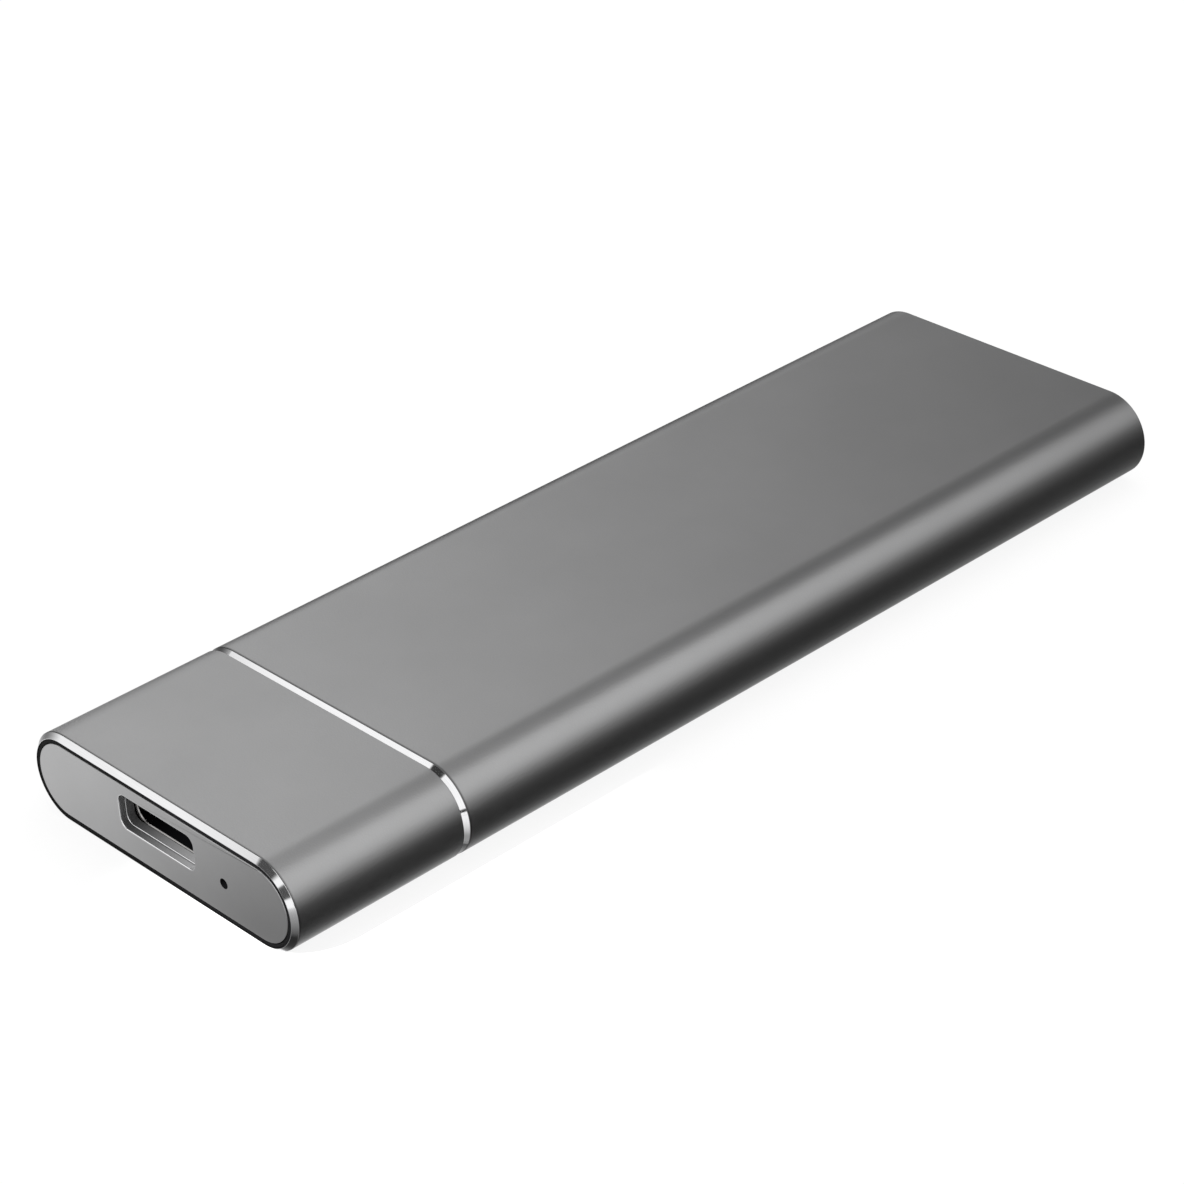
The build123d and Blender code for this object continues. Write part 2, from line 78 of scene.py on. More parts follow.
MM = 0.001
BODY = "root"
AXIS_Z = (CASE_BOX[0].z + CASE_BOX[1].z) / 2
SHELL_X = (SHELL_LOW.x + SHELL_HIGH.x) / 2
PINHOLE = (PIPE_LOW + PIPE_HIGH) / 2
MERGE = 0.0001 * MM
RIM_REACH = 100 * MERGE     # an edge this near to a place along the case lies there
SMOOTH_ANGLE = math.radians(30)
UPRIGHT = (math.pi / 2, 0, 0)   # turn that stands a flat primitive across the case
ROUND = 0.5                 # bevel profile of a true round
CAP_SIDES = 8               # a face with more corners than this is an end cap
CUT_OVER = 1.0 * MM         # how far a cutter runs past what it cuts
FLAT = 0.02                 # a normal this near to square counts as square
# Painted shade: the dark line behind each cut stands in for the dark reflection of its rounded edge
FACING = 0.5                # a normal with more than this along the case faces an end
PAINTED_SHADE_SHARE = 0.3             # share of the colour left in the line behind a cut
MASK_LOW, MASK_HIGH = 0.3, 0.7  # where the values of a noise lie
WHITE = (1.0, 1.0, 1.0, 1.0)


def length(label, note, value):
    """A length property in metres."""
    return bpy.props.FloatProperty(name=label, description=note, default=value, unit="LENGTH", precision=5)


def angle(label, note, degrees):
    """An angle property, given in degrees."""
    return bpy.props.FloatProperty(
        name=label, description=note, default=math.radians(degrees), subtype="ANGLE"
    )


def position(label, note, value):
    """A place property, given in millimetres."""
    return bpy.props.FloatVectorProperty(
        name=label, description=note, default=[v * MM for v in value], subtype="TRANSLATION", unit="LENGTH"
    )


def facets(label, note, value):
    """A property that counts the facets of a round."""
    return bpy.props.IntProperty(name=label, description=note, default=value, min=6, max=64)


def wattage(label, note, value):
    """A lamp's power property, in watts."""
    return bpy.props.FloatProperty(name=label, description=note, default=value, unit="POWER")


def colour(label, note, value):
    """A linear colour property."""
    return bpy.props.FloatVectorProperty(
        name=label, description=note, default=value, subtype="COLOR", size=3, min=0.0, max=1.0
    )


class CaseSizes(bpy.types.PropertyGroup):
    """Sizes of the sleeve, the collar and the two plates."""

    width: length("Width", "Overall width of the case", SLEEVE_HIGH.x - SLEEVE_LOW.x)
    height: length("Height", "Overall height of the case", SLEEVE_HIGH.z - SLEEVE_LOW.z)
    wall: length("Wall", "Wall of the sleeve and the collar", 1.0 * MM)
    bright_cut: length("Bright cut", "Depth of the bevels on the two front edges", 0.42 * MM)
    sleeve_cut: length("Sleeve cut", "The sleeve's bevel along the case", 0.6 * MM)
    rear_edge: length("Rear edge", "Bevel on the sleeve's rear edge", 0.2 * MM)
    mouth_wall: length("Mouth wall", "Wall left where an end is thinned for its plate", 0.45 * MM)
    mouth_depth: length("Mouth depth", "Depth of the collar's thinned mouth", 2.1 * MM)
    edge_round: length("Edge rounding", "Rounding of the cut edges", 0.05 * MM)
    # The edge line is painted shade, a darkened band of the skin standing in for the rounded edge's dark
    # reflection
    edge_line: length("Edge line", "Width of the dark line behind a cut", 0.22 * MM)
    plate_round: length("Plate rounding", "Rounding of the plates' outer edges", 0.08 * MM)
    guide_tip: length("Guide tip", "Middle of the case to the tips of the card guides", 12.3 * MM)
    guide_thick: length("Guide thickness", "Thickness of each card guide", 0.6 * MM)
    guide_fit: length("Guide fit", "Clearance between a guide and the board", 0.05 * MM)
    guide_start: length("Guide start", "Where the card guides start along the case", -24.6 * MM)
    round_steps: facets("Round steps", "Facets in each quarter of the round sides", 28)


class PortSizes(bpy.types.PropertyGroup):
    """Sizes of the port, its stepped window and the light's pinhole."""

    recess_width: length("Recess width", "Width of the recess in the front plate", 9.28 * MM)
    recess_height: length("Recess height", "Height of the recess in the front plate", 3.12 * MM)
    recess_radius: length("Recess radius", "Corner radius of the recess", 0.8 * MM)
    recess_depth: length("Recess depth", "Depth of the recess", 0.54 * MM)
    window_width: length("Window width", "Width of the window in the recess", 9.04 * MM)
    window_height: length("Window height", "Height of the window in the recess", 2.72 * MM)
    window_radius: length("Window radius", "Corner radius of the window", 0.75 * MM)
    window_round: length("Window rounding", "Rounding of the window's front edge", 0.06 * MM)
    shell_height: length("Shell height", "Height of the port's shell above the board", 3.16 * MM)
    shell_wall: length("Shell wall", "Wall of the port's shell", 0.3 * MM)
    lead_in: length("Lead-in", "Bevel inside the shell's mouth", 0.08 * MM)
    leg_width: length("Leg width", "Width of each leg along the case", 1.0 * MM)
    leg_front: length("Leg place", "The shell's mouth to the middle of the front legs", 2.0 * MM)
    leg_pitch: length("Leg pitch", "Front legs to rear legs", 4.0 * MM)
    leg_play: length("Leg play", "Set-back of a leg's faces from the shell's own", 0.005 * MM)
    pinhole_radius: length("Pinhole", "Radius of the light's pinhole", 0.45 * MM)
    round_steps: facets("Round steps", "Facets in each quarter of the port's corners", 16)


class Finishes(bpy.types.PropertyGroup):
    """Colours of the materials."""

    shell: colour("Anodised shell", "Blasted and anodised aluminium", (0.455, 0.455, 0.458))
    plate: colour("End plates", "Finer blasted aluminium of the plates", (0.497, 0.497, 0.5))
    bright: colour("Bright cut", "Bare aluminium of the cut edges", (0.92, 0.92, 0.93))
    # Partly painted shade: the walls' near-black colour stands in for the shade in the port's recess
    milled: colour("Milled wall", "Dull walls of the port's window", (0.045, 0.045, 0.0455))
    # This colour also paints shade: it blackens the pinhole's wall and the port's steel bore
    moulding: colour("Black moulding", "Black frame and tongue", (0.0008, 0.0008, 0.0009))
    steel: colour("Plated steel", "Drawn shell of the port and the screws", (0.50, 0.49, 0.48))
    gold: colour("Gold contact", "Plated contact strips", (0.80, 0.56, 0.23))
    brass: colour("Turned brass", "Post at the card's end", (0.62, 0.45, 0.20))
    board: colour("Circuit board", "Dark board lacquer", (0.010, 0.035, 0.022))
    chip: colour("Chip body", "Moulded chip bodies", (0.018, 0.018, 0.020))
    ceramic: colour("Ceramic part", "Small ceramic parts", (0.36, 0.26, 0.17))
    light: colour("Light body", "Body of the activity light", (0.72, 0.71, 0.66))
    pad: colour("Soft pad", "Heat pad between the chips and the sleeve", (0.30, 0.36, 0.44))
    pipe: colour("Clear pipe", "Smoked plastic of the light pipe", (0.10, 0.10, 0.11))


class StageSizes(bpy.types.PropertyGroup):
    """Camera, floor and lamps."""

    camera_azimuth: angle("Azimuth", "Turn of the camera about the object", 47.638)
    camera_elevation: angle("Elevation", "Angle by which the camera looks down", 30.567)
    camera_roll: angle("Roll", "Tilt of the camera about its own axis", -2.9395)
    camera_view: angle("Field of view", "Angle that the picture takes in", 19.42)
    camera_place: position("Camera place", "Where the camera stands", (185.268, -172.767, 153.988))
    floor_size: length("Floor size", "Side of the floor", 4.0)
    floor_colour: colour("Floor colour", "Pale floor under the drive", (0.96, 0.96, 0.96))
    floor_glow: bpy.props.FloatProperty(
        name="Floor glow", description="Share of even white in the floor", default=0.88, subtype="FACTOR"
    )
    spot_place: position("Spot place", "Where the front spot stands", (13, -290, 185))
    spot_radius: length("Spot radius", "Radius of the front spot's source", 2.0 * MM)
    spot_cone: angle("Spot cone", "Angle of the front spot's soft cone", 6.9)
    spot_power: wattage("Spot power", "Power of the front spot", 50.0)
    top_place: position("Top lamp place", "Where the top lamp hangs", (0, 60, 400))
    top_size: length("Top lamp size", "Side of the top lamp", 300.0 * MM)
    top_power: wattage("Top lamp power", "Power of the top lamp", 0.5)


# Edit-mode helpers


def start_outline(name, width, height, radius, place, steps):
    """Add an upright plane across the case, round its corners and leave it in edit mode, selected."""
    bpy.ops.object.select_all(action="DESELECT")
    bpy.ops.mesh.primitive_plane_add(size=1, location=place, rotation=UPRIGHT)
    piece = bpy.context.active_object
    piece.name = name
    piece.data.name = name
    piece.scale = (width, height, 1)
    bpy.ops.object.transform_apply(location=True, rotation=True, scale=True)
    bpy.ops.object.mode_set(mode="EDIT")
    bpy.ops.mesh.select_mode(type="VERT")
    bpy.ops.mesh.select_all(action="SELECT")
    bpy.ops.mesh.bevel(offset=radius, segments=steps, profile=ROUND, affect="VERTICES", clamp_overlap=False)
    bpy.ops.mesh.select_all(action="SELECT")
    bpy.ops.mesh.remove_doubles(threshold=MERGE)
    bpy.ops.mesh.select_mode(type="FACE")
    bpy.ops.mesh.select_all(action="SELECT")
    return piece


def start_case(name, inset, front, rear, case):
    """Solid bar of the case's section, drawn in by an inset, between two places along the case."""
    width = case.width - 2 * inset
    height = case.height - 2 * inset
    piece = start_outline(name, width, height, height / 2, (0, front, AXIS_Z), case.round_steps)
    draw_back(rear - front)
    return piece


def draw_back(distance):
    """Extrude the selected outline along the case and turn all faces outwards."""
    bpy.ops.mesh.extrude_region_move(TRANSFORM_OT_translate={"value": (0, distance, 0)})
    bpy.ops.mesh.select_all(action="SELECT")
    bpy.ops.mesh.normals_make_consistent(inside=False)


def pick_faces(piece, test):
    """Select the faces of a mesh in edit mode that pass a test, and nothing else."""
    bpy.ops.mesh.select_mode(type="FACE")
    bpy.ops.mesh.select_all(action="DESELECT")
    mesh = bmesh.from_edit_mesh(piece.data)
    for face in mesh.faces:
        if test(face):
            face.select_set(True)
    bmesh.update_edit_mesh(piece.data)


def pick_edges(piece, test):
    """Select the edges of a mesh in edit mode that pass a test, and nothing else."""
    bpy.ops.mesh.select_mode(type="EDGE")
    bpy.ops.mesh.select_all(action="DESELECT")
    mesh = bmesh.from_edit_mesh(piece.data)
    for edge in mesh.edges:
        if test(edge):
            edge.select_set(True)
    bmesh.update_edit_mesh(piece.data)


def is_cap(face):
    """Whether a face is a whole end of the case, not one of its narrow facets."""
    return len(face.verts) > CAP_SIDES


def work_end(piece, side, steps):
    """Shape one end: each step draws its cap in by a margin and moves it out along the case."""
    pick_faces(piece, lambda face: is_cap(face) and face.normal.y * side > FACING)
    for margin, travel in steps:
        if margin:
            bpy.ops.mesh.inset(thickness=margin, depth=travel)
        else:
            bpy.ops.mesh.extrude_region_move(TRANSFORM_OT_translate={"value": (0, side * travel, 0)})


def open_through(piece):
    """Join the two remaining end caps by a bore."""
    pick_faces(piece, is_cap)
    bpy.ops.mesh.bridge_edge_loops()


def round_rims(piece, offset, places, steps=3):
    """Round the outer rims that lie square across the case at the given places."""
    def on_rim(edge):
        if len(edge.link_faces) != 2:
            return False
        level = abs(edge.verts[0].co.y - edge.verts[1].co.y) < MERGE
        near = any(abs(edge.verts[0].co.y - place) < RIM_REACH for place in places)
        return level and near and edge.is_convex and edge.calc_face_angle(0) > SMOOTH_ANGLE
    pick_edges(piece, on_rim)
    bpy.ops.mesh.bevel(offset=offset, segments=steps, profile=ROUND, affect="EDGES", clamp_overlap=False)


def leave_edit(piece):
    """Back to object mode, with the piece alone selected."""
    bpy.ops.object.mode_set(mode="OBJECT")
    bpy.ops.object.select_all(action="DESELECT")
    piece.select_set(True)
    bpy.context.view_layer.objects.active = piece


def combine(piece, other, operation):
    """Cut another solid out of a piece or add it, and remove the other solid."""
    leave_edit(piece)
    change = piece.modifiers.new(operation.lower(), "BOOLEAN")
    change.operation = operation
    change.solver = "EXACT"
    change.object = other
    bpy.ops.object.modifier_apply(modifier=change.name)
    bpy.data.objects.remove(other)


def resize(piece, factor):
    """Scale a piece about its origin, and keep the scale."""
    piece.scale = (factor, factor, factor)
    bpy.ops.object.transform_apply(location=False, rotation=False, scale=True)


def settle_normals(piece):
    """Smooth the rounds and keep the large faces flat."""
    leave_edit(piece)
    bpy.ops.object.shade_smooth_by_angle(angle=SMOOTH_ANGLE)
    resize(piece, 1 / MM)   # in metres the faces are too small to be weighed
    weigh = piece.modifiers.new("weigh", "WEIGHTED_NORMAL")
    weigh.keep_sharp = True
    weigh.weight = 100      # the largest faces decide
    bpy.ops.object.modifier_apply(modifier=weigh.name)
    resize(piece, MM)


def add_block(low, high):
    """Square block between two corners."""
    bpy.ops.object.select_all(action="DESELECT")
    bpy.ops.mesh.primitive_cube_add(size=1, location=(low + high) / 2)
    piece = bpy.context.active_object
    piece.scale = high - low
    bpy.ops.object.transform_apply(location=True, rotation=True, scale=True)
    return piece


def hand_over(piece, node, slot, *materials):
    """Give a finished piece its materials and tie it to the construction."""
    for index, material in enumerate(materials):
        if index < len(piece.data.materials):
            piece.data.materials[index] = material
        else:
            piece.data.materials.append(material)
    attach(piece, BODY)
    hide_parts(node)


def paint_faces(piece, index, test):
    """Give the faces that pass a test another of the piece's materials."""
    while len(piece.data.materials) <= index:
        piece.data.materials.append(None)
    bpy.ops.object.mode_set(mode="EDIT")
    pick_faces(piece, test)
    piece.active_material_index = index
    bpy.ops.object.material_slot_assign()
    bpy.ops.object.mode_set(mode="OBJECT")


# Material helpers


def start_material(name):
    """New node material, with its tree and main shader."""
    material = bpy.data.materials.new(name)
    material.use_nodes = True
    return material, material.node_tree, material.node_tree.nodes["Principled BSDF"]


def add_node(tree, kind, **values):
    """Add a node and set its inputs or settings by name."""
    node = tree.nodes.new(kind)
    for key, value in values.items():
        socket = key.replace("_", " ").title()
        if socket in node.inputs:
            node.inputs[socket].default_value = value
        else:
            setattr(node, key, value)
    return node


def object_place(tree):
    """Object coordinates of the surface."""
    return tree.nodes.new("ShaderNodeTexCoord").outputs["Object"]


def start_group(name, inputs, outputs):
    """New shader node group with named sockets, and its entry and exit."""
    group = bpy.data.node_groups.new(name, "ShaderNodeTree")
    for way, sockets in (("INPUT", inputs), ("OUTPUT", outputs)):
        for label, kind in sockets.items():
            group.interface.new_socket(label, in_out=way, socket_type="NodeSocket" + kind)
    return group, group.nodes.new("NodeGroupInput"), group.nodes.new("NodeGroupOutput")


def grain_group():
    """Shared group: fine blasted grain as a height, and broad cloudy variation as a mask."""
    group = bpy.data.node_groups.get("fine_grain")
    if group:
        return group
    inputs = {"Vector": "Vector", "Grain Scale": "Float", "Cloud Scale": "Float"}
    outputs = {"Height": "Float", "Grain": "Float", "Cloud": "Float"}
    group, entry, out = start_group("fine_grain", inputs, outputs)
    grain = add_node(group, "ShaderNodeTexNoise", detail=2.0, roughness=0.6)
    pits = add_node(group, "ShaderNodeTexVoronoi", feature="SMOOTH_F1")
    cloud = add_node(group, "ShaderNodeTexNoise", detail=3.0, roughness=0.55)
    for node, scale in ((grain, "Grain Scale"), (pits, "Grain Scale"), (cloud, "Cloud Scale")):
        group.links.new(entry.outputs["Vector"], node.inputs["Vector"])
        group.links.new(entry.outputs[scale], node.inputs["Scale"])
    height = add_node(group, "ShaderNodeMath", operation="ADD")
    group.links.new(grain.outputs["Fac"], height.inputs[0])
    group.links.new(pits.outputs["Distance"], height.inputs[1])
    group.links.new(height.outputs[0], out.inputs["Height"])
    group.links.new(grain.outputs["Fac"], out.inputs["Grain"])
    group.links.new(cloud.outputs["Fac"], out.inputs["Cloud"])
    return group


def use_grain(tree, grain_scale, cloud_scale):
    """Place the shared grain in a material."""
    node = tree.nodes.new("ShaderNodeGroup")
    node.node_tree = grain_group()
    node.inputs["Grain Scale"].default_value = grain_scale
    node.inputs["Cloud Scale"].default_value = cloud_scale
    tree.links.new(object_place(tree), node.inputs["Vector"])
    return node


def spread(tree, source, low, high, target):
    """Feed a socket with a mask, stretched to run from one value to another."""
    ramp = add_node(tree, "ShaderNodeMapRange")
    ramp.inputs["From Min"].default_value = MASK_LOW
    ramp.inputs["From Max"].default_value = MASK_HIGH
    ramp.inputs["To Min"].default_value = low
    ramp.inputs["To Max"].default_value = high
    tree.links.new(source, ramp.inputs["Value"])
    tree.links.new(ramp.outputs["Result"], target)


def tint(tree, source, base, variation, target):
    """Feed a colour socket with a base colour that a mask lightens and darkens a little."""
    ramp = tree.nodes.new("ShaderNodeValToRGB")
    ends = ((MASK_LOW, 1 - variation), (MASK_HIGH, 1 + variation))
    for element, (place, factor) in zip(ramp.color_ramp.elements, ends):
        element.position = place
        element.color = [*(min(max(c * factor, 0.0), 1.0) for c in base), 1.0]
    tree.links.new(source, ramp.inputs["Fac"])
    tree.links.new(ramp.outputs["Color"], target)


def raise_bump(tree, source, strength, distance, shader):
    """Feed a shader's normal with a bump of a height."""
    bump = add_node(tree, "ShaderNodeBump", strength=strength, distance=distance)
    tree.links.new(source, bump.inputs["Height"])
    tree.links.new(bump.outputs["Normal"], shader.inputs["Normal"])


def grained(name, colours):
    """Material of a grained finish: cloudy colour, uneven roughness and a fine bump."""
    finish = GRAINS[name]
    material, tree, shader = start_material(name)
    shader.inputs["Metallic"].default_value = finish.metallic
    shader.inputs["Specular IOR Level"].default_value = finish.specular
    grain = use_grain(tree, finish.grain_scale, finish.cloud_scale)
    base = getattr(colours, finish.colour)
    tint(tree, grain.outputs["Cloud"], base, finish.variation, shader.inputs["Base Color"])
    spread(tree, grain.outputs["Grain"], *finish.rough, shader.inputs["Roughness"])
    raise_bump(tree, grain.outputs["Height"], finish.bump_strength, finish.bump_depth * MM, shader)
    return material


# Grained finishes: scales in features per metre, colour variation as a share, bump depth in millimetres
Grain = namedtuple(
    "Grain",
    "colour metallic rough grain_scale cloud_scale variation bump_strength bump_depth specular",
    defaults=(0.5,),
)
GRAINS = {
    "anodised_shell": Grain("shell", 1.0, (0.33, 0.39), 7000, 90, 0.03, 0.25, 0.02),
    "anodised_plate": Grain("plate", 1.0, (0.33, 0.39), 9000, 120, 0.03, 0.2, 0.015),
    "dull_plate": Grain("plate", 0.45, (0.45, 0.55), 9000, 120, 0.03, 0.2, 0.015),
    # Dull port walls, darkened to near black as painted shade for the recess
    "milled_wall": Grain("milled", 0.0, (0.4, 0.48), 9000, 400, 0.05, 0.1, 0.01, 0.1),
    "black_moulding": Grain("moulding", 0.0, (0.42, 0.55), 5000, 300, 0.2, 0.2, 0.01, 0.06),
    "plated_steel": Grain("steel", 1.0, (0.24, 0.32), 4000, 700, 0.06, 0.1, 0.006),
    "gold_contact": Grain("gold", 1.0, (0.2, 0.32), 6000, 900, 0.08, 0.1, 0.004),
    "turned_brass": Grain("brass", 1.0, (0.25, 0.36), 5000, 600, 0.08, 0.12, 0.006),
    "chip_body": Grain("chip", 0.0, (0.5, 0.62), 8000, 400, 0.15, 0.2, 0.01),
    "ceramic_part": Grain("ceramic", 0.0, (0.35, 0.5), 6000, 1500, 0.2, 0.1, 0.006),
    "soft_pad": Grain("pad", 0.0, (0.6, 0.75), 2500, 200, 0.12, 0.3, 0.03),
    "light_body": Grain("light", 0.0, (0.35, 0.45), 5000, 900, 0.06, 0.1, 0.005),
}
INNER_FINISHES = {
    "black_moulding": ("front_frame", "port_tongue", "card_socket", "power_coil"),
    "plated_steel": ("board_screws", "clock_crystal", "card_screw", "card_socket_pins"),
    "gold_contact": ("port_contacts", "card_fingers"),
    "turned_brass": ("card_standoff",),
    "chip_body": ("bridge_chip", "flash_chips", "card_controller", "cache_chip"),
    "ceramic_part": ("board_capacitors", "board_resistors", "card_capacitors"),
    "light_body": ("activity_led",),
    "soft_pad": ("thermal_pad",),
}


def painted_shade_group():
    """Shared group: painted shade, a colour that darkens along a line across the case, between two places.
    """
    group = bpy.data.node_groups.get("edge_line")
    if group:
        return group
    inputs = {"Color": "Color", "Vector": "Vector", "Start": "Float", "End": "Float", "Dark": "Float"}
    group, entry, out = start_group("edge_line", inputs, {"Color": "Color"})
    split = group.nodes.new("ShaderNodeSeparateXYZ")
    ramp = add_node(group, "ShaderNodeMapRange", interpolation_type="SMOOTHSTEP")
    scale = add_node(group, "ShaderNodeVectorMath", operation="SCALE")
    group.links.new(entry.outputs["Vector"], split.inputs[0])
    group.links.new(split.outputs["Y"], ramp.inputs["Value"])
    group.links.new(entry.outputs["Start"], ramp.inputs["From Min"])
    group.links.new(entry.outputs["End"], ramp.inputs["From Max"])
    group.links.new(entry.outputs["Dark"], ramp.inputs["To Min"])
    group.links.new(entry.outputs["Color"], scale.inputs[0])
    group.links.new(ramp.outputs["Result"], scale.inputs["Scale"])
    group.links.new(scale.outputs["Vector"], out.inputs["Color"])
    return group


def anodised_with_painted_shade(name, colours, edge, width):
    """Blasted and anodised aluminium, with a painted dark line behind the edge where a cut ends, a painted
    shade that stands in for the dark reflection of the rounded edge.
    """
    material = grained("anodised_shell", colours)
    material.name = name
    tree = material.node_tree
    target = tree.nodes["Principled BSDF"].inputs["Base Color"]
    # Painted shade: the skin's colour darkens in a band just behind the cut
    line = tree.nodes.new("ShaderNodeGroup")
    line.node_tree = painted_shade_group()
    line.inputs["Start"].default_value = edge
    line.inputs["End"].default_value = edge + width
    line.inputs["Dark"].default_value = PAINTED_SHADE_SHARE
    tree.links.new(object_place(tree), line.inputs["Vector"])
    tree.links.new(target.links[0].from_socket, line.inputs["Color"])
    tree.links.new(line.outputs["Color"], target)
    return material


def bright_material(colours):
    """Bare cut aluminium, with fine tool lines along the rims."""
    material, tree, shader = start_material("bright_cut")
    shader.inputs["Metallic"].default_value = 1.0
    across = add_node(tree, "ShaderNodeMapping")
    across.inputs["Scale"].default_value = (0.02, 1.0, 0.02)
    tree.links.new(object_place(tree), across.inputs["Vector"])
    lines = add_node(tree, "ShaderNodeTexNoise", scale=30000.0, detail=2.0)
    tree.links.new(across.outputs["Vector"], lines.inputs["Vector"])
    tint(tree, lines.outputs["Fac"], colours.bright, 0.05, shader.inputs["Base Color"])
    spread(tree, lines.outputs["Fac"], 0.07, 0.11, shader.inputs["Roughness"])
    raise_bump(tree, lines.outputs["Fac"], 0.1, 0.002 * MM, shader)
    return material


def board_material(colours):
    """Board lacquer over faint square tracks."""
    material, tree, shader = start_material("circuit_board")
    tracks = add_node(tree, "ShaderNodeTexBrick", scale=420.0)
    tracks.inputs["Mortar Size"].default_value = 0.04
    tree.links.new(object_place(tree), tracks.inputs["Vector"])
    tint(tree, tracks.outputs["Fac"], colours.board, 0.5, shader.inputs["Base Color"])
    grain = use_grain(tree, grain_scale=5000, cloud_scale=300)
    spread(tree, grain.outputs["Cloud"], 0.28, 0.4, shader.inputs["Roughness"])
    raise_bump(tree, tracks.outputs["Fac"], 0.2, 0.01 * MM, shader)
    shader.inputs["Coat Weight"].default_value = 0.3
    return material


def pipe_material(colours):
    """Smoked clear plastic of the light pipe."""
    material, tree, shader = start_material("clear_pipe")
    shader.inputs["Transmission Weight"].default_value = 0.6
    shader.inputs["IOR"].default_value = 1.49
    grain = use_grain(tree, grain_scale=3000, cloud_scale=1200)
    tint(tree, grain.outputs["Cloud"], colours.pipe, 0.15, shader.inputs["Base Color"])
    spread(tree, grain.outputs["Grain"], 0.12, 0.25, shader.inputs["Roughness"])
    return material


def fade_group():
    """Shared group: a window over the unit square that fades in from its four sides."""
    group = bpy.data.node_groups.get("soft_window")
    if group:
        return group
    inputs = {"Vector": "Vector", **{side: "Float" for side in FADE_SIDES}}
    group, entry, out = start_group("soft_window", inputs, {"Window": "Float"})
    split = group.nodes.new("ShaderNodeSeparateXYZ")
    group.links.new(entry.outputs["Vector"], split.inputs[0])
    total = None
    for side in FADE_SIDES:
        source = split.outputs["X" if side in ("Left", "Right") else "Y"]
        if side in ("Right", "High"):
            rest = add_node(group, "ShaderNodeMath", operation="SUBTRACT")
            rest.inputs[0].default_value = 1.0
            group.links.new(source, rest.inputs[1])
            source = rest.outputs[0]
        ramp = add_node(group, "ShaderNodeMapRange", interpolation_type="SMOOTHSTEP")
        group.links.new(source, ramp.inputs["Value"])
        group.links.new(entry.outputs[side], ramp.inputs["From Max"])
        if total is None:
            total = ramp.outputs["Result"]
        else:
            product = add_node(group, "ShaderNodeMath", operation="MULTIPLY")
            group.links.new(total, product.inputs[0])
            group.links.new(ramp.outputs["Result"], product.inputs[1])
            total = product.outputs[0]
    group.links.new(total, out.inputs["Window"])
    return group


def card_material(card):
    """Grey glow of a card, clear towards its edges."""
    material, tree, shader = start_material(card.name)
    tree.nodes.remove(shader)
    window = tree.nodes.new("ShaderNodeGroup")
    window.node_tree = fade_group()
    tree.links.new(tree.nodes.new("ShaderNodeTexCoord").outputs["UV"], window.inputs["Vector"])
    for side, share in zip(FADE_SIDES, card.fade):
        window.inputs[side].default_value = share
    glow = add_node(tree, "ShaderNodeEmission", color=WHITE, strength=card.level)
    clear = tree.nodes.new("ShaderNodeBsdfTransparent")
    mix = tree.nodes.new("ShaderNodeMixShader")
    tree.links.new(window.outputs["Window"], mix.inputs["Fac"])
    tree.links.new(clear.outputs["BSDF"], mix.inputs[1])
    tree.links.new(glow.outputs["Emission"], mix.inputs[2])
    tree.links.new(mix.outputs["Shader"], tree.nodes["Material Output"].inputs["Surface"])
    return material


# Cards that the metal mirrors: place and size in millimetres, facing in degrees, fades as shares
Card = namedtuple("Card", "name place azimuth elevation size fade level")
FADE_SIDES = ("Left", "Right", "Low", "High")
CARDS = (
    Card("rear_card", (10, 315, 65), 105, 0, (1300, 580), (0.63, 0.54, 0.2, 0.1), 0.01),
    Card("left_rear_card", (-240, 165, -35), 145, 0, (260, 230), (0.4, 0.4, 0.3, 0.4), 0.0),
    Card("right_card", (270, 145, 90), 47, 0, (1000, 180), (0.7, 0.3, 0.001, 0.8), 0.0),
    Card("right_low_card", (60, 280, -430), 72, 0, (1600, 860), (0.02, 0.65, 0.1, 0.001), 0.0),
    Card("ceiling_card", (-95, 200, 400), -90, 90, (380, 380), (0.25, 0.02, 0.75, 0.1), 0.13),
    Card("front_floor_card", (12, -69.85, 0.03), -90, 90, (86, 40), (0.75, 0.6, 0.3, 0.02), 0.02),
    Card("front_low_card", (190, -230, -450), -50, 0, (1540, 920), (0.6, 0.65, 0.05, 0.45), 0.075),
    Card("front_left_card", (-80, -255, 170), -111, 33, (275, 80), (0.25, 0.2, 0.1, 0.1), 0.075),
    Card("upper_left_card", (-90, -185, 235), -120, 50, (195, 130), (0.15, 0.15, 0.1, 0.1), 0.04),
    Card("front_right_card", (128, -283, 85), -65, 15, (95, 115), (0.1, 0.1, 0.15, 0.25), 0.08),
    Card("horizon_card", (100, -89, 6.5), -34, 0, (60, 13), (0.1, 0.1, 0.1, 0.3), 0.02),
    Card("left_card", (-290, -80, -55), 195, 0, (390, 625), (0.05, 0.6, 0.7, 0.05), 0.075),
    Card("under_card", (-20, -55, -300), -90, 90, (300, 510), (0.1, 0.2, 0.1, 0.6), 0.04),
)


# Operators


def finish_shell(piece, node, edge, case, colours):
    """Bright cut up to an edge and anodised skin behind it, for the sleeve or the collar."""
    def on_cut(face):
        return face.normal.y < -FACING and face.calc_center_median().y < edge
    paint_faces(piece, 1, on_cut)
    skin = anodised_with_painted_shade("anodised_" + piece.name, colours, edge, case.edge_line)
    hand_over(piece, node, "anodised_shell", skin, bright_material(colours))


